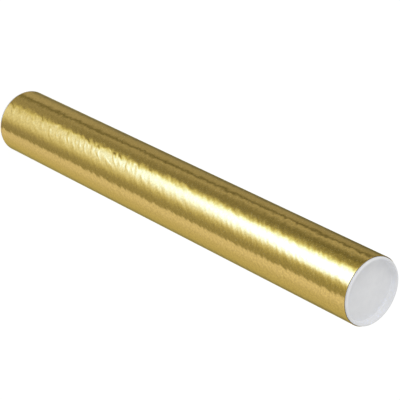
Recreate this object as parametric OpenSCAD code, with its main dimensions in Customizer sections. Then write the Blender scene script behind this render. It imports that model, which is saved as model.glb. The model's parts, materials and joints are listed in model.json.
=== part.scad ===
// Round mailing tube with a push-in cap in each end.
// It stands on its bottom cap: Z is the tube's axis, and Z = 0 is the face that it stands on.

/* [Tube] */
// Length of the tube between its two cut ends
tube_length = 609.6; // [150:0.1:1200]
// Inside diameter of the tube
bore_d = 76.2; // [38:0.1:152]
// Thickness of the wound paperboard wall
wall = 1.8; // [1.2:0.1:6]

/* [Cap flange] */
// How far the flange reaches over the tube's cut end
flange_lap = 0.7; // [0.6:0.1:1.2]
// Thickness of the flange
flange_t = 3; // [2:0.1:5]
// Rounding of the flange's outer edge
edge_round = 1.2; // [0.2:0.1:1.6]
// Rounding of the lip round the recess
lip_round = 0.6; // [0.2:0.1:0.8]

/* [Cap recess] */
// Depth of the recess below the flange's outer face
recess_depth = 8; // [4:0.5:15]
// Thickness of the recess floor
floor_t = 1.4; // [0.8:0.1:3]
// Fillet where a wall meets the floor, on both of its sides
floor_fillet = 1.5; // [0.3:0.1:2.5]
// Draft of the moulded walls, in degrees
draft = 1; // [0.5:0.25:2]

/* [Cap skirt] */
// Thickness of the skirt where it meets the floor
skirt_wall = 1.4; // [1.2:0.1:3]
// How far the skirt runs on past the floor
skirt_run = 10; // [5:0.5:15]
// Gap all round between the grip beads and the bore
cap_clearance = 0.1; // [0.05:0.01:0.3]
// How far the first grip bead stands out from the skirt
bead_height = 0.3; // [0.1:0.05:0.5]
// Radius of a grip bead's round section
bead_round = 0.8; // [0.6:0.1:1.2]
// Distance from the flange to the first grip bead
bead_start = 3; // [2:0.5:5]
// Distance between neighbouring grip beads
bead_pitch = 4; // [2.5:0.5:8]
// Length of the sloping lead-in at the skirt's inner end
lead_in = 2; // [1:0.5:3]
// Slope of the lead-in from the skirt's wall, in degrees
lead_angle = 12; // [6:1:15]

/* [Hidden] */
$fn = 180;

// Cutting shapes run this far past the solid that they cut
over = 1;

// The two ends of the tube: the bottom cap's flange is under the lower one
tube_base = flange_t;
tube_top = tube_base + tube_length;

// Radii of the fit between a cap and the tube
bore_r = bore_d / 2;
tube_r = bore_r + wall;
flange_r = bore_r + flange_lap;
bead_crest_r = bore_r - cap_clearance;
skirt_r = bead_crest_r - bead_height;

// Heights on a cap, from the tube's cut end: outwards is positive
floor_top = flange_t - recess_depth;
floor_under = floor_top - floor_t;
skirt_end = floor_under - skirt_run;
lead_start = skirt_end + lead_in;
bead_count = floor((bead_start + lead_start) / -bead_pitch) + 1;

// Outside radius of the drafted skirt at a height below the flange
function skirt_outside(z) = skirt_r + z * tan(draft);

// Inside radius of the drafted skirt where it meets one side of the floor
function skirt_inside(z) = skirt_outside(z) - skirt_wall;

// Section of a drafted pocket that opens upwards from its floor at height 0
module pocket(floor_r, depth) {
    fillet_r = floor_r + floor_fillet * tan(draft) - floor_fillet / cos(draft);
    polygon([
        [-over, 0],
        [fillet_r, 0],
        [fillet_r + floor_fillet * cos(draft), floor_fillet * (1 - sin(draft))],
        [floor_r + (depth + over) * tan(draft), depth + over],
        [-over, depth + over],
    ]);
    translate([fillet_r, floor_fillet]) circle(floor_fillet);
}

// What a rounding takes off a square corner that points along +X and +Y
module corner_waste(round_r) {
    difference() {
        square(round_r + over);
        circle(round_r);
    }
}

// Section of the skirt as a full plug, with its lead-in and grip beads
module skirt_section() {
    polygon([
        [0, skirt_end],
        [skirt_outside(lead_start) - lead_in * tan(lead_angle), skirt_end],
        [skirt_outside(lead_start), lead_start],
        [skirt_r, 0],
        [skirt_r, flange_t / 2],
        [0, flange_t / 2],
    ]);
    for (i = [0 : bead_count - 1])
        translate([bead_crest_r - bead_round, -bead_start - i * bead_pitch])
            circle(bead_round);
}

// Half section of a cap, with the tube's cut end at height 0
module cap_section() {
    recess_lip_r = skirt_inside(floor_top) + recess_depth * tan(draft);
    difference() {
        union() {
            square([flange_r, flange_t]);
            skirt_section();
        }
        translate([0, floor_top])
            pocket(skirt_inside(floor_top), recess_depth);
        translate([0, floor_under])
            mirror([0, 1])
                pocket(skirt_inside(floor_under), skirt_run);
        translate([flange_r - edge_round, flange_t - edge_round])
            corner_waste(edge_round);
        translate([recess_lip_r + lip_round, flange_t - lip_round])
            mirror([1, 0])
                corner_waste(lip_round);
    }
}

// A moulded push-in cap whose flange faces upwards
module cap() {
    rotate_extrude()
        cap_section();
}

module tube() {
    color([0.80, 0.66, 0.34])
        translate([0, 0, tube_base])
            difference() {
                cylinder(h = tube_length, r = tube_r);
                translate([0, 0, -over])
                    cylinder(h = tube_length + 2 * over, r = bore_r);
            }
}

module top_cap() {
    color([0.93, 0.93, 0.94])
        translate([0, 0, tube_top])
            cap();
}

module bottom_cap() {
    color([0.93, 0.93, 0.94])
        translate([0, 0, tube_base])
            mirror([0, 0, 1])
                cap();
}

tube();
top_cap();
bottom_cap();
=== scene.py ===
"""Looks of a round mailing tube: gold foil on wound board, white end caps and a white studio."""
import json
from math import cos, hypot, pi, radians, sin, tan

import bpy
import numpy as np
from mathutils import Matrix, Vector

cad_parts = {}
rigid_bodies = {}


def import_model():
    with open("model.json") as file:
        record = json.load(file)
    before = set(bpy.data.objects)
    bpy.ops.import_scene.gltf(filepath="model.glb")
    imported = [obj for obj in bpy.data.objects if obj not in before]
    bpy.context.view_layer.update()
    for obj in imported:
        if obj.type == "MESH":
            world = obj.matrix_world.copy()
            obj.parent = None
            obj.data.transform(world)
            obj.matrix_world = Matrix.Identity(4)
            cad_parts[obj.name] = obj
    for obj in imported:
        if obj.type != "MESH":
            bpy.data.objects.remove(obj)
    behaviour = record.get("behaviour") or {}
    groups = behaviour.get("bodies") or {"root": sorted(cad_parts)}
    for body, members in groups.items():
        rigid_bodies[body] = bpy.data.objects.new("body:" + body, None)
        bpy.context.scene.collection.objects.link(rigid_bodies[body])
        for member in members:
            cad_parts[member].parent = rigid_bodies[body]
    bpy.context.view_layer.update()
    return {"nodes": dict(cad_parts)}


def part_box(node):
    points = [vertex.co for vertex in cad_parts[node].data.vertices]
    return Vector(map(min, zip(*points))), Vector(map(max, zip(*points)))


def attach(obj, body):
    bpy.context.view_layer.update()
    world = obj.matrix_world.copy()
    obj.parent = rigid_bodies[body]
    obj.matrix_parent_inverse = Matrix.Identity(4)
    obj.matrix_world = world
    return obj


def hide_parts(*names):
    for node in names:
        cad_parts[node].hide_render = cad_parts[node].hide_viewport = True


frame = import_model()
scene = bpy.context.scene

MM = 0.001

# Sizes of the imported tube
tube_low, tube_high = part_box("tube")
TUBE_R = tube_high.x
BOTTOM_Z = tube_low.z
TOP_Z = tube_high.z
BORE_R = min(hypot(v.co.x, v.co.y) for v in frame["nodes"]["tube"].data.vertices)

# The winding: each ply is a strip that climbs round the tube at this angle
HELIX_ANGLE = radians(42)
COLUMNS = 192
RING_ANGLES = 2 * pi * np.arange(COLUMNS) / COLUMNS
FOIL_ROWS = 128
LINER_ROWS = 24
SEAM_HALF_WIDTH = 1.2 * MM
SEAM_DEPTH = 0.004 * MM
SEAM_CALM = 9 * MM
SEAM_START = 62.8 * MM

# The foil's wrinkles, as relief in the mesh
WRINKLE_SEED = 7
WRINKLE_WAVES = 90
WRINKLE_ACROSS = (5 * MM, 16 * MM)
WRINKLE_ALONG = (30 * MM, 120 * MM)
WRINKLE_SLOPE = 0.005
END_CALM = 6 * MM

# How strong the foil's fine creases are: by height on the tube in metres, and by degrees round it from
# the camera's side
CREASES_BY_HEIGHT = [(0.0, 0.85), (0.3, 0.95), (0.45, 1.0), (0.62, 1.05)]
CREASES_ROUND = [
    (-180, 1),
    (-75, 1.5),
    (-50, 1.5),
    (-40, 1.7),
    (-26, 1.4),
    (-8, 1),
    (2, 0.8),
    (18, 0.8),
    (26, 0.85),
    (180, 1),
]
COARSE_CREASE = 0.21 * MM
FINE_CREASE = 0.28 * MM

# A side of the foil that is more wrinkled: where it lies across X, where it fades out upwards, its depth
RUMPLED_FROM = (-19 * MM, -11 * MM)
RUMPLED_TO = (-3 * MM, 8 * MM)
RUMPLED_HEIGHT = (220 * MM, 340 * MM)
RUMPLED_CREASE = 0.36 * MM

# The cut ends of the board
EDGE_ROUND = 0.5 * MM
EDGE_STEPS = 5
LINER_ROUND = 0.15 * MM
CUT_PLIES = 6
PLY_RELIEF = 0.05 * MM
PLY_CONTRAST = 0.9
SHARP_ANGLE = radians(40)

# Material slots of the tube's mesh
FOIL_SLOT = 0
EDGE_SLOT = 1
LINER_SLOT = 2

# Noise, in cells for each metre: along the ply, across it and in depth, or one number for all ways
COARSE_NOISE = (45, 100, 1)
FINE_NOISE = (95, 200, 1)
DENT_NOISE = (65, 170, 1)
TONE_NOISE = (9, 35, 1)
SPECK_NOISE = 380
SHEEN_NOISE = (40, 260, 1)
FIBRE_NOISE = (180, 900, 1)
LINER_CLOUD_NOISE = (30, 45, 1)
FUZZ_NOISE = 2200
CAP_CLOUD_NOISE = 90
CAP_GRAIN_NOISE = 1500

# What the noise is turned into: level of noise and value there
DENTS = [(0.45, 0), (0.75, 1)]
SPECKS = [(0.3, 0), (0.7, 1)]
FOIL_ROUGHNESS = [(0.3, 0.13), (0.7, 0.19)]
LINER_CLOUDS = [(0.35, 0), (0.65, 0.35)]
CAP_CLOUDS = [(0.35, 0), (0.65, 1)]
CAP_ROUGHNESS = [(0.3, 0.48), (0.7, 0.54)]

# Plain values of the bare paper, the cut board and the plastic
LINER_ROUGHNESS = 0.85
FIBRE_RELIEF = 0.05 * MM
BOARD_ROUGHNESS = 0.9
FUZZ_RELIEF = 0.08 * MM
CAP_SHINE = 0.12
CAP_GRAIN_RELIEF = 0.02 * MM

# The view of the photograph: the camera looks down on the standing tube, and is rolled
CAMERA_AIM = Vector((-7.0, 0, 335.5)) * MM
CAMERA_DISTANCE = 2080.4 * MM
CAMERA_DROP = radians(43.08)
CAMERA_ROLL = radians(116.08)
CAMERA_LENS = 162.93
CAMERA_SENSOR = 36

# Colours, in linear light
GOLD = (0.700, 0.494, 0.163)
GOLD_PALE = (0.716, 0.508, 0.173)
GOLD_SPECK = (0.568, 0.402, 0.135)
GOLD_EDGE = (0.87, 0.80, 0.66)
KRAFT = (0.43, 0.29, 0.17)
KRAFT_DARK = (0.33, 0.21, 0.12)
BOARD = (0.14, 0.10, 0.055)
BOARD_DARK = (0.09, 0.063, 0.036)
PLY_COLOURS = [(0.35, BOARD_DARK), (0.75, BOARD)]
CAP_WHITE = (0.86, 0.865, 0.875)
CAP_SHADE = (0.82, 0.825, 0.84)

# The studio that the foil mirrors: a drum round the tube, which only mirrors see
DRUM_R = 0.25
DRUM_FOOT = -0.8
DRUM_TOP = 1.1
DRUM_SIDES = 96
DRUM_FOOT_LEVEL = (0.20, 0.20, 0.14)

# What the drum shows, as a profile for high up and one for low down: degrees round the tube from the
# camera's side, level, and level of blue
STUDIO_HIGH = [
    (-180, 1.5, 1.3),
    (-163, 0.25, 0.10),
    (-140, 0.20, 0.13),
    (-132, 0.32, 0.24),
    (-122, 0.45, 0.36),
    (-99, 0.45, 0.37),
    (-95, 0.36, 0.26),
    (-92, 0.18, 0.11),
    (-87, 0.18, 0.11),
    (-82, 0.66, 0.58),
    (-76.5, 0.64, 0.55),
    (-67, 0.42, 0.32),
    (-57, 0.265, 0.165),
    (-47, 0.245, 0.15),
    (-38, 0.44, 0.30),
    (38, 0.46, 0.30),
    (54.5, 0.46, 0.30),
    (57.3, 1.04, 1.01),
    (74.5, 1.02, 0.98),
    (84, 0.86, 0.74),
    (93, 0.79, 0.62),
    (105, 0.77, 0.57),
    (118, 0.71, 0.46),
    (128, 0.68, 0.43),
    (138.5, 0.36, 0.20),
    (162, 0.42, 0.18),
    (180, 1.5, 1.3),
]
STUDIO_LOW = [
    (-180, 0.22, 0.15),
    (-163, 0.50, 0.26),
    (-136, 0.24, 0.16),
    (-128, 0.46, 0.36),
    (-120, 0.55, 0.46),
    (-107, 0.58, 0.53),
    (-100, 0.54, 0.49),
    (-93.5, 0.24, 0.15),
    (-88, 0.24, 0.15),
    (-81, 0.38, 0.30),
    (-73.5, 0.48, 0.42),
    (-65, 0.42, 0.34),
    (-50, 0.46, 0.37),
    (38, 0.46, 0.38),
    (51.5, 0.40, 0.28),
    (54.5, 0.40, 0.28),
    (57.3, 0.95, 0.93),
    (74.5, 0.97, 0.95),
    (84, 0.89, 0.80),
    (93, 0.84, 0.69),
    (105, 0.81, 0.58),
    (118, 0.75, 0.44),
    (128, 0.65, 0.37),
    (138.5, 0.44, 0.22),
    (162, 0.55, 0.25),
    (180, 0.22, 0.15),
]
HIGH_SHARE_BY_HEIGHT = [(-0.193, 0), (-0.071, 0.47), (0.103, 0.59), (0.276, 0.71), (0.398, 1)]

# How the stripes on the drum lean, in degrees for each metre of height from the middle
LEAN_MIDDLE = 0.103
LEAN_REACH = 0.37
LEAN = [
    (-180, 0),
    (-136, 0),
    (-111, 33.1),
    (-53.5, 33.1),
    (-42, 0),
    (0, 0),
    (15, 6.9),
    (38, 6.9),
    (50, 13.4),
    (67, 13.4),
    (86, 6.9),
    (134, 0),
    (180, 0),
]

# A soft lamp on the drum, which fades out downwards, the glow round it, and a wide soft glint low down
# beside it: by degrees round the tube, and by height in metres
GLOW_ACROSS = [
    (-46, 0),
    (-40, 0.05),
    (-32.5, 0.17),
    (-25, 0.38),
    (-17, 0.60),
    (-9.5, 0.81),
    (-4, 0.83),
    (4, 0.78),
    (13.5, 0.66),
    (25, 0.25),
    (32.5, 0.07),
    (39, 0),
]
GLINT_ACROSS = [(-38, 0), (-30, 0.85), (-25, 1), (-17, 0.5), (-9, 0)]
GLINT_BY_HEIGHT = [(-0.26, 0), (-0.20, 0.32), (-0.06, 0.36), (0.05, 0.2), (0.12, 0)]
SOFTBOX_PLACE = -45
SOFTBOX_LEFT_END = 40
SOFTBOX_RIGHT_START = [(0.10, 8), (0.28, 23), (0.40, 33)]
SOFTBOX_RIGHT_END = [(-0.07, 66), (0.10, 64), (0.28, 67), (0.40, 68)]
SOFTBOX_BY_HEIGHT = [
    (-0.22, 0),
    (-0.15, 0.25),
    (-0.07, 0.95),
    (0.02, 1.8),
    (0.10, 2.9),
    (0.28, 3.1),
    (0.40, 3.5),
    (0.55, 3.5),
    (0.75, 3),
]

# The lamp's light is warm where it is weak and cool where it is strong, and has less blue to its left
WARM_LIGHT = (0.95, 1.0, 0.6)
COOL_LIGHT = (0.60, 0.95, 2.2)
WARM_TO_COOL = (0.15, 1.8)
BLUE_ACROSS = [(-46, 0.6), (-30, 0.66), (-23, 0.96), (-15, 1)]

# Plain light on everything that is not a mirror: even light, a soft key lamp and a weak fill opposite it
AMBIENT = 0.69
LAMP_SIZE = 0.9
KEY_POWER = 8.5
KEY_PLACE = Vector((-1.2, -1.3, 1.35))
FILL_POWER = 2
FILL_PLACE = Vector((1.5, -0.6, 0.95))

# The floor: half its width, its grey to the light, and what the camera sees, white apart from a shadow
FLOOR_HALF = 12
FLOOR_GREY = 0.8
FLOOR_SHADOW_SHARE = 0.2
FLOOR_WHITE = 0.89


class Graph:
    """Adds nodes to one node tree and links them."""

    def __init__(self, tree):
        self.tree = tree
        tree.nodes.clear()

    def node(self, kind, inputs=None, **settings):
        made = self.tree.nodes.new(kind)
        for name, value in settings.items():
            setattr(made, name, value)
        for name, value in (inputs or {}).items():
            self.feed(made.inputs[name], value)
        return made

    def feed(self, socket, value):
        if isinstance(value, bpy.types.NodeSocket):
            self.tree.links.new(value, socket)
        elif socket.type == "RGBA" and len(value) == 3:
            socket.default_value = (*value, 1)
        else:
            socket.default_value = value

    def math(self, operation, *values):
        made = self.node("ShaderNodeMath", operation=operation)
        for socket, value in zip(made.inputs, values):
            self.feed(socket, value)
        return made.outputs[0]

    def ramp(self, factor, stops, interpolation="LINEAR"):
        """Stops are (position, grey or colour) pairs, with positions from 0 to 1."""
        made = self.node("ShaderNodeValToRGB", {"Fac": factor})
        made.color_ramp.interpolation = interpolation
        points = made.color_ramp.elements
        while len(points) < len(stops):
            points.new(1)
        for point, (position, value) in zip(points, stops):
            point.position = position
            point.color = (*value, 1) if hasattr(value, "__len__") else (value, value, value, 1)
        return made.outputs["Color"]

    def mix(self, factor, first, second):
        made = self.node("ShaderNodeMix", data_type="RGBA")
        self.feed(made.inputs[0], factor)
        self.feed(made.inputs[6], first)
        self.feed(made.inputs[7], second)
        return made.outputs[2]

    def span(self, value, low, high, to_low, to_high, smooth=False):
        """Maps low to to_low and high to to_high, and holds those ends beyond them."""
        limits = {"From Min": low, "From Max": high, "To Min": to_low, "To Max": to_high}
        kind = "SMOOTHSTEP" if smooth else "LINEAR"
        made = self.node("ShaderNodeMapRange", {"Value": value, **limits}, interpolation_type=kind)
        return made.outputs[0]

    def vector(self, operation, *values):
        made = self.node("ShaderNodeVectorMath", operation=operation)
        for socket, value in zip(made.inputs, values):
            self.feed(socket, value)
        return made.outputs[0]

    def noise(self, vector, scale, detail=2, roughness=0.5):
        """Even noise, or streaks if the scale is one number for each axis."""
        if hasattr(scale, "__len__"):
            placed = self.node("ShaderNodeMapping", {"Vector": vector, "Scale": scale})
            vector, scale = placed.outputs[0], 1
        made = self.node(
            "ShaderNodeTexNoise",
            {"Vector": vector, "Scale": scale, "Detail": detail, "Roughness": roughness},
        )
        return made.outputs[0]

    def bump(self, height, distance):
        inputs = {"Height": height, "Distance": distance, "Strength": 1}
        return self.node("ShaderNodeBump", inputs).outputs[0]


def material(name):
    made = bpy.data.materials.new(name)
    made.use_nodes = True
    return made, Graph(made.node_tree)


def principled(graph, **inputs):
    named = {name.replace("_", " "): value for name, value in inputs.items()}
    shader = graph.node("ShaderNodeBsdfPrincipled", named)
    graph.node("ShaderNodeOutputMaterial", {"Surface": shader.outputs[0]})


def strip_coordinates(graph):
    """Metres along the ply and across it."""
    return graph.node("ShaderNodeUVMap", uv_map="strip").outputs[0]


def round_angle(graph, x, y):
    """Degrees round the tube from the camera's side, which is -Y."""
    return graph.math("DEGREES", graph.math("ARCTAN2", x, graph.math("MULTIPLY", y, -1)))


def round_share(graph, degrees):
    """Degrees round the tube, from -180 to 180, as a share from 0 to 1."""
    return graph.math("FRACT", graph.math("MULTIPLY_ADD", degrees, 1 / 360, 0.5))


def round_stops(stops):
    """Stops by degrees round the tube as stops for that share."""
    return [((degrees + 180) / 360, value) for degrees, value in stops]


def foil_material():
    """Gold foil with fine creases that run along its ply, faint specks and one rumpled side."""
    made, graph = material("gold_foil")
    strip = strip_coordinates(graph)
    fine = graph.noise(strip, FINE_NOISE, detail=0)
    coarse = graph.noise(strip, COARSE_NOISE, detail=0)
    dents = graph.ramp(graph.noise(strip, DENT_NOISE, detail=0), DENTS, "EASE")
    tone = graph.noise(strip, TONE_NOISE, detail=3)
    speck = graph.ramp(graph.noise(strip, SPECK_NOISE, detail=1), SPECKS)
    colour = graph.mix(speck, graph.mix(tone, GOLD, GOLD_PALE), GOLD_SPECK)
    roughness = graph.ramp(graph.noise(strip, SHEEN_NOISE), FOIL_ROUGHNESS)
    place = graph.node("ShaderNodeTexCoord").outputs["Object"]
    x, y, height = graph.node("ShaderNodeSeparateXYZ", {"Vector": place}).outputs
    creased = graph.ramp(round_share(graph, round_angle(graph, x, y)), round_stops(CREASES_ROUND))
    creased = graph.math("MULTIPLY", creased, graph.ramp(height, CREASES_BY_HEIGHT))
    side = graph.span(x, *RUMPLED_FROM, 0, 1, smooth=True)
    side = graph.math("MULTIPLY", side, graph.span(x, *RUMPLED_TO, 1, 0, smooth=True))
    low = graph.span(height, *RUMPLED_HEIGHT, RUMPLED_CREASE, 0, smooth=True)
    relief = graph.math("MULTIPLY", fine, FINE_CREASE)
    relief = graph.math("MULTIPLY_ADD", coarse, COARSE_CREASE, relief)
    relief = graph.math("MULTIPLY", relief, creased)
    rumpled = graph.math("MULTIPLY", graph.math("MULTIPLY", side, low), dents)
    normal = graph.bump(graph.math("ADD", relief, rumpled), 1)
    principled(
        graph,
        Base_Color=colour,
        Metallic=1,
        Roughness=roughness,
        Specular_Tint=GOLD_EDGE,
        Normal=normal,
    )
    return made


def liner_material():
    """Bare brown paper inside the tube, with its fibres along the ply."""
    made, graph = material("kraft_liner")
    strip = strip_coordinates(graph)
    fibre = graph.noise(strip, FIBRE_NOISE, detail=4, roughness=0.6)
    cloud = graph.noise(strip, LINER_CLOUD_NOISE, detail=3)
    colour = graph.mix(fibre, KRAFT_DARK, KRAFT)
    colour = graph.mix(graph.ramp(cloud, LINER_CLOUDS), colour, KRAFT)
    normal = graph.bump(fibre, FIBRE_RELIEF)
    principled(graph, Base_Color=colour, Roughness=LINER_ROUGHNESS, Normal=normal)
    return made


def cut_edge_material():
    """The sawn end of the board: grey-brown plies that show as fine rings."""
    made, graph = material("cut_board")
    place = graph.node("ShaderNodeTexCoord").outputs["Object"]
    x, y, _ = graph.node("ShaderNodeSeparateXYZ", {"Vector": place}).outputs
    squares = graph.math("ADD", graph.math("MULTIPLY", x, x), graph.math("MULTIPLY", y, y))
    radius = graph.math("SQRT", squares)
    wall_share = graph.math("DIVIDE", graph.math("SUBTRACT", radius, BORE_R), TUBE_R - BORE_R)
    ply = graph.math("PINGPONG", graph.math("MULTIPLY", wall_share, CUT_PLIES), 0.5)
    fuzz = graph.noise(place, FUZZ_NOISE, detail=3, roughness=0.7)
    line = graph.math("MULTIPLY", graph.math("ADD", ply, fuzz), PLY_CONTRAST)
    colour = graph.ramp(line, PLY_COLOURS)
    normal = graph.bump(fuzz, FUZZ_RELIEF)
    principled(graph, Base_Color=colour, Roughness=BOARD_ROUGHNESS, Normal=normal)
    return made


def cap_material():
    """Moulded white plastic: faintly cloudy, with a fine satin grain."""
    made, graph = material("white_plastic")
    place = graph.node("ShaderNodeTexCoord").outputs["Object"]
    cloud = graph.noise(place, CAP_CLOUD_NOISE, detail=4, roughness=0.6)
    grain = graph.noise(place, CAP_GRAIN_NOISE)
    colour = graph.mix(graph.ramp(cloud, CAP_CLOUDS), CAP_SHADE, CAP_WHITE)
    roughness = graph.ramp(cloud, CAP_ROUGHNESS)
    normal = graph.bump(grain, CAP_GRAIN_RELIEF)
    principled(
        graph,
        Base_Color=colour,
        Roughness=roughness,
        Specular_IOR_Level=CAP_SHINE,
        Normal=normal,
    )
    return made


def smooth_step(value, low, high):
    share = np.clip((value - low) / (high - low), 0, 1)
    return share * share * (3 - 2 * share)


def wrinkle_relief(along, across):
    """Height of the foil's wrinkles: long waves that lie nearly along the ply, all of one slope."""
    draw = np.random.default_rng(WRINKLE_SEED)
    relief = np.zeros_like(along)
    for _ in range(WRINKLE_WAVES):
        width = np.exp(draw.uniform(*np.log(WRINKLE_ACROSS)))
        length = draw.uniform(*WRINKLE_ALONG) * draw.choice((-1, 1))
        phase = draw.uniform(0, 2 * pi)
        relief += width * np.sin(2 * pi * (along / length + across / width) + phase)
    slope_of_one = 2 * pi / np.sqrt(2)
    return relief * WRINKLE_SLOPE / (slope_of_one * np.sqrt(WRINKLE_WAVES))


class Wall:
    """One wound wall of the tube as a grid whose rows follow the plies' edges.

    Row and column lines are sheared along the helix. A row that runs past an end of the tube is cut
    off there, so each end is a clean ring with one point for each column.
    """

    def __init__(self, radius, low, high, rows):
        self.radius = radius
        self.lead = 2 * pi * radius * tan(HELIX_ANGLE)
        step = self.lead / rows
        first = int((low - SEAM_START - self.lead) // step) - 1
        last = int((high - SEAM_START) // step) + 2
        numbers = np.arange(first, last + 1)
        column, row = np.meshgrid(np.arange(COLUMNS + 1), numbers, indexing="ij")
        turn = row // rows
        height = SEAM_START + step * row + self.lead * column / COLUMNS
        angle = 2 * pi * (turn + column / COLUMNS)
        self.round_length = 2 * pi * radius * cos(HELIX_ANGLE)
        self.turn = turn
        self.along = radius * angle * cos(HELIX_ANGLE) + height * sin(HELIX_ANGLE)
        self.across = step * (row - turn * rows) * cos(HELIX_ANGLE)
        self.ply_width = self.lead * cos(HELIX_ANGLE)
        self.angle = angle
        self.height = height
        self.low = low
        self.high = high
        self.rows = rows
        self.step = step
        self.number_points()

    def number_points(self):
        """Gives each grid place its point: first the two end rings, then what lies between.

        A place that is beyond an end, or within a quarter of a row of it, takes that end's point.
        """
        near = self.step / 4
        below = self.height[:COLUMNS] < self.low + near
        above = self.height[:COLUMNS] > self.high - near
        column = np.arange(COLUMNS)[:, None]
        inner = ~below & ~above
        ids = np.where(below, column, COLUMNS + column)
        ids[inner] = 2 * COLUMNS + np.arange(inner.sum())
        last = np.full_like(ids[:1], COLUMNS)
        last[0, : -self.rows] = ids[0, self.rows :]
        self.ids = np.vstack([ids, last])
        self.inner = inner
        self.count = 2 * COLUMNS + inner.sum()

    def points(self, depth):
        """Places of the points, with the wall set in by depth, one value for each grid place."""
        angles = np.concatenate([RING_ANGLES, RING_ANGLES, self.angle[:COLUMNS][self.inner]])
        ends = [np.full(COLUMNS, self.low), np.full(COLUMNS, self.high)]
        heights = np.concatenate([*ends, self.height[:COLUMNS][self.inner]])
        radii = self.radius - np.concatenate([np.zeros(2 * COLUMNS), depth[:COLUMNS][self.inner]])
        return np.column_stack([radii * np.cos(angles), radii * np.sin(angles), heights])

    def faces(self):
        """Corner lists that turn outwards, and the strip coordinates of their corners."""
        corners, places = [], []
        for i in range(COLUMNS):
            for j in range(self.ids.shape[1] - 1):
                cell = [(i, j), (i + 1, j), (i + 1, j + 1), (i, j + 1)]
                ids = [int(self.ids[c]) for c in cell]
                if ids[0] == ids[3]:
                    cell, ids = cell[:3], ids[:3]
                    if ids[1] == ids[2]:
                        continue
                elif ids[1] == ids[2]:
                    cell, ids = [cell[0], cell[1], cell[3]], [ids[0], ids[1], ids[3]]
                corners.append(ids)
                places.append([self.strip_place(c, self.turn[i, j]) for c in cell])
        return corners, places

    def strip_place(self, corner, turn):
        """Metres along and across the ply at a grid place, counted on one turn of the ply."""
        turns_on = self.turn[corner] - turn
        along = self.along[corner] - turns_on * self.round_length
        return along, self.across[corner] + turns_on * self.ply_width


def seam_share(wall, reach):
    """1 on the seam between two turns of the ply, falling to 0 at reach beside it."""
    distance = np.minimum(wall.across, wall.ply_width - wall.across)
    return 1 - smooth_step(distance, 0, reach)


def foil_depth(wall):
    """How far the foil lies inside the tube's full radius."""
    calm = smooth_step(np.minimum(wall.height - wall.low, wall.high - wall.height), 0, END_CALM)
    relief = wrinkle_relief(wall.along, wall.across)
    relief = relief - relief.min()
    level = relief.mean()
    flattened = level + (relief - level) * (1 - seam_share(wall, SEAM_CALM))
    return calm * (flattened + SEAM_DEPTH * seam_share(wall, SEAM_HALF_WIDTH))


def ring(radius, height):
    heights = np.full(COLUMNS, height)
    return np.column_stack([radius * np.cos(RING_ANGLES), radius * np.sin(RING_ANGLES), heights])


def end_rings(height, inward):
    """Rings of a cut end, from the foil's edge to the liner's; inward is 1 or -1 along Z."""
    outer, inner = TUBE_R - EDGE_ROUND, BORE_R + LINER_ROUND
    rings = []
    for n in range(1, EDGE_STEPS):
        turn = 0.5 * pi * n / EDGE_STEPS
        sunk = EDGE_ROUND * (1 - sin(turn))
        rings.append(ring(outer + EDGE_ROUND * cos(turn), height + sunk * inward))
    for n in range(2 * CUT_PLIES + 1):
        share = n / (2 * CUT_PLIES)
        sunk = PLY_RELIEF if n % 2 else 0
        rings.append(ring(outer + (inner - outer) * share, height + sunk * inward))
    return rings


def add_object(name, data):
    made = bpy.data.objects.new(name, data)
    scene.collection.objects.link(made)
    return made


def build_tube():
    """The wound tube as one mesh: foil outside, bare liner inside and two cut ends."""
    outer = Wall(TUBE_R, BOTTOM_Z + EDGE_ROUND, TOP_Z - EDGE_ROUND, FOIL_ROWS)
    liner = Wall(BORE_R, BOTTOM_Z + LINER_ROUND, TOP_Z - LINER_ROUND, LINER_ROWS)
    liner_depth = -SEAM_DEPTH * seam_share(liner, SEAM_HALF_WIDTH)
    points = [outer.points(foil_depth(outer)), liner.points(liner_depth)]
    faces, places = outer.faces()
    slots = [FOIL_SLOT] * len(faces)
    liner_faces, liner_places = liner.faces()
    faces += [[c + outer.count for c in reversed(face)] for face in liner_faces]
    places += [list(reversed(place)) for place in liner_places]
    slots += [LINER_SLOT] * len(liner_faces)
    total = outer.count + liner.count
    for end, (height, inward) in enumerate([(BOTTOM_Z, 1), (TOP_Z, -1)]):
        starts = [end * COLUMNS]
        for loop in end_rings(height, inward):
            points.append(loop)
            starts.append(total)
            total += COLUMNS
        starts.append(outer.count + end * COLUMNS)
        for n, (a, b) in enumerate(zip(starts, starts[1:])):
            for i in range(COLUMNS):
                after = (i + 1) % COLUMNS
                face = [a + i, a + after, b + after, b + i]
                faces.append(face if inward < 0 else face[::-1])
                places.append([(0, 0)] * 4)
                slots.append(FOIL_SLOT if n < EDGE_STEPS else EDGE_SLOT)
    mesh = bpy.data.meshes.new("foil_tube")
    mesh.from_pydata(np.vstack(points).tolist(), [], faces)
    layer = mesh.uv_layers.new(name="strip")
    corners = np.array([corner for place in places for corner in place], np.float32)
    layer.data.foreach_set("uv", corners.ravel())
    for made in (foil_material(), cut_edge_material(), liner_material()):
        mesh.materials.append(made)
    mesh.polygons.foreach_set("material_index", slots)
    mesh.polygons.foreach_set("use_smooth", [True] * len(faces))
    mesh.set_sharp_from_angle(angle=SHARP_ANGLE)
    mesh.update()
    return add_object("foil_tube", mesh)


def dress_caps():
    """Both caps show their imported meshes, in white plastic."""
    plastic = cap_material()
    for name in ("top_cap", "bottom_cap"):
        cap = frame["nodes"][name]
        cap.data.materials.clear()
        cap.data.materials.append(plastic)


def by_height(graph, height, stops):
    """The value at a height on the drum, from stops by height."""
    shares = [((at - DRUM_FOOT) / (DRUM_TOP - DRUM_FOOT), value) for at, value in stops]
    return graph.ramp(graph.span(height, DRUM_FOOT, DRUM_TOP, 0, 1), shares)


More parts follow.
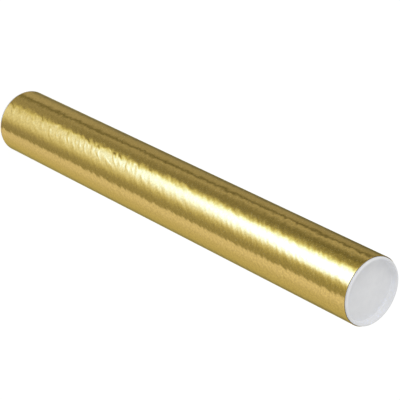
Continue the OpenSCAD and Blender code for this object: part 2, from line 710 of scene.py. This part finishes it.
def softbox(graph, angle, height):
    """A soft lamp whose right edge draws in as it goes down, and which fades out there."""
    across = graph.math("SUBTRACT", angle, SOFTBOX_PLACE)
    left = graph.span(across, 0, SOFTBOX_LEFT_END, 0, 1, smooth=True)
    right_start = by_height(graph, height, SOFTBOX_RIGHT_START)
    right_end = by_height(graph, height, SOFTBOX_RIGHT_END)
    right = graph.span(across, right_start, right_end, 1, 0, smooth=True)
    power = by_height(graph, height, SOFTBOX_BY_HEIGHT)
    return graph.math("MULTIPLY", graph.math("MULTIPLY", left, right), power)


def show_colour(made, graph, colour):
    """Shows a colour as it is written, as something to mirror and not as a lamp."""
    made.cycles.emission_sampling = "NONE"
    shown = graph.node("ShaderNodeEmission", {"Color": colour})
    graph.node("ShaderNodeOutputMaterial", {"Surface": shown.outputs[0]})


def studio_material():
    """What the foil mirrors: a white table, dim walls, and a soft lamp in its glow."""
    made, graph = material("studio")
    place = graph.node("ShaderNodeTexCoord").outputs["Object"]
    x, y, height = graph.node("ShaderNodeSeparateXYZ", {"Vector": place}).outputs
    angle = round_angle(graph, x, y)
    reach = (-LEAN_REACH, LEAN_REACH)
    rise = graph.span(height, LEAN_MIDDLE - LEAN_REACH, LEAN_MIDDLE + LEAN_REACH, *reach)
    lean = graph.ramp(round_share(graph, angle), round_stops(LEAN))
    leaning = graph.math("MULTIPLY_ADD", lean, rise, angle)
    round_place = round_share(graph, leaning)
    low, high = [
        graph.ramp(round_place, round_stops([(at, (grey, grey, blue)) for at, grey, blue in stops]))
        for stops in (STUDIO_LOW, STUDIO_HIGH)
    ]
    walls = graph.mix(by_height(graph, height, HIGH_SHARE_BY_HEIGHT), low, high)
    glow = graph.ramp(round_place, round_stops(GLOW_ACROSS))
    glint = graph.ramp(round_place, round_stops(GLINT_ACROSS))
    glow = graph.math("MULTIPLY_ADD", glint, by_height(graph, height, GLINT_BY_HEIGHT), glow)
    bright = graph.math("ADD", softbox(graph, leaning, height), glow)
    tint = graph.mix(graph.span(bright, *WARM_TO_COOL, 0, 1), WARM_LIGHT, COOL_LIGHT)
    warmer = graph.ramp(round_place, round_stops([(at, (1, 1, blue)) for at, blue in BLUE_ACROSS]))
    tint = graph.vector("MULTIPLY", tint, warmer)
    colour = graph.vector("MULTIPLY_ADD", bright, tint, walls)
    show_colour(made, graph, colour)
    return made


def studio_foot_material():
    """The dim bottom of the drum."""
    made, graph = material("studio_foot")
    show_colour(made, graph, DRUM_FOOT_LEVEL)
    return made


def build_drum():
    """The drum's wall and bottom, seen by mirrors alone."""
    turns = [2 * pi * n / DRUM_SIDES for n in range(DRUM_SIDES)]
    points = [(DRUM_R * cos(t), DRUM_R * sin(t), z) for z in (DRUM_FOOT, DRUM_TOP) for t in turns]
    faces = []
    for n in range(DRUM_SIDES):
        after = (n + 1) % DRUM_SIDES
        faces.append((n, after, DRUM_SIDES + after, DRUM_SIDES + n))
    faces.append(tuple(range(DRUM_SIDES)))
    mesh = bpy.data.meshes.new("studio_drum")
    mesh.from_pydata(points, [], faces)
    mesh.materials.append(studio_material())
    mesh.materials.append(studio_foot_material())
    mesh.polygons[DRUM_SIDES].material_index = 1
    drum = add_object("studio_drum", mesh)
    drum.visible_camera = False
    drum.visible_diffuse = False
    drum.visible_shadow = False
    drum.visible_transmission = False


def white_background(graph, plain, white):
    """White to the rays from the camera, off metal and through glass, and plain to the rest."""
    path = graph.node("ShaderNodeLightPath").outputs
    seen = graph.math("MAXIMUM", path["Is Camera Ray"], path["Is Glossy Ray"])
    seen = graph.math("MAXIMUM", seen, path["Is Transmission Ray"])
    mixed = graph.node("ShaderNodeMixShader", {"Fac": seen})
    graph.feed(mixed.inputs[1], plain.outputs[0])
    graph.feed(mixed.inputs[2], white.outputs[0])
    return mixed.outputs[0]


def build_world():
    """White to the camera and to mirrors, plain even light to the rest."""
    world = bpy.data.worlds.new("studio")
    world.use_nodes = True
    world.cycles.sampling_method = "NONE"
    graph = Graph(world.node_tree)
    plain = graph.node("ShaderNodeBackground", {"Color": (AMBIENT, AMBIENT, AMBIENT)})
    white = graph.node("ShaderNodeBackground", {"Color": (1, 1, 1)})
    graph.node("ShaderNodeOutputWorld", {"Surface": white_background(graph, plain, white)})
    scene.world = world


def floor_material():
    """A pale floor that the camera sees as white, apart from the object's shadow."""
    made, graph = material("white_floor")
    made.cycles.emission_sampling = "NONE"
    shaded = graph.node("ShaderNodeBsdfDiffuse", {"Color": (FLOOR_SHADOW_SHARE,) * 3})
    white = graph.node("ShaderNodeEmission", {"Strength": FLOOR_WHITE})
    seen = graph.node("ShaderNodeAddShader")
    graph.feed(seen.inputs[0], shaded.outputs[0])
    graph.feed(seen.inputs[1], white.outputs[0])
    plain = graph.node("ShaderNodeBsdfDiffuse", {"Color": (FLOOR_GREY,) * 3})
    graph.node("ShaderNodeOutputMaterial", {"Surface": white_background(graph, plain, seen)})
    return made


def build_floor():
    mesh = bpy.data.meshes.new("floor")
    corners = [(-1, -1), (1, -1), (1, 1), (-1, 1)]
    mesh.from_pydata([(x * FLOOR_HALF, y * FLOOR_HALF, 0) for x, y in corners], [], [(0, 1, 2, 3)])
    mesh.materials.append(floor_material())
    floor = add_object("floor", mesh)
    floor.visible_glossy = False


def build_lamp(name, place, power):
    """A large soft lamp, which mirrors don't see: they see the drum."""
    lamp = bpy.data.lights.new(name, "AREA")
    lamp.shape = "DISK"
    lamp.size = LAMP_SIZE
    lamp.energy = power
    made = add_object(name, lamp)
    made.location = place
    aim = Vector((0, 0, TOP_Z)) - place
    made.rotation_euler = aim.to_track_quat("-Z", "Y").to_euler()
    made.visible_glossy = False


def build_camera():
    lens = bpy.data.cameras.new("camera")
    lens.lens = CAMERA_LENS
    lens.sensor_width = CAMERA_SENSOR
    camera = add_object("camera", lens)
    forward = Vector((0, cos(CAMERA_DROP), -sin(CAMERA_DROP)))
    level = Vector((1, 0, 0))
    above = level.cross(forward)
    right = level * cos(CAMERA_ROLL) + above * sin(CAMERA_ROLL)
    up = right.cross(forward)
    turn = Matrix((right, up, -forward)).transposed()
    camera.matrix_world = Matrix.Translation(CAMERA_AIM - forward * CAMERA_DISTANCE) @ turn.to_4x4()
    scene.camera = camera


build_camera()
build_floor()
build_drum()
build_world()
build_lamp("key", KEY_PLACE, KEY_POWER)
build_lamp("fill", FILL_PLACE, FILL_POWER)
scene.view_settings.view_transform = "Standard"

foil_tube = build_tube()
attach(foil_tube, "tube")
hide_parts("tube")
dress_caps()
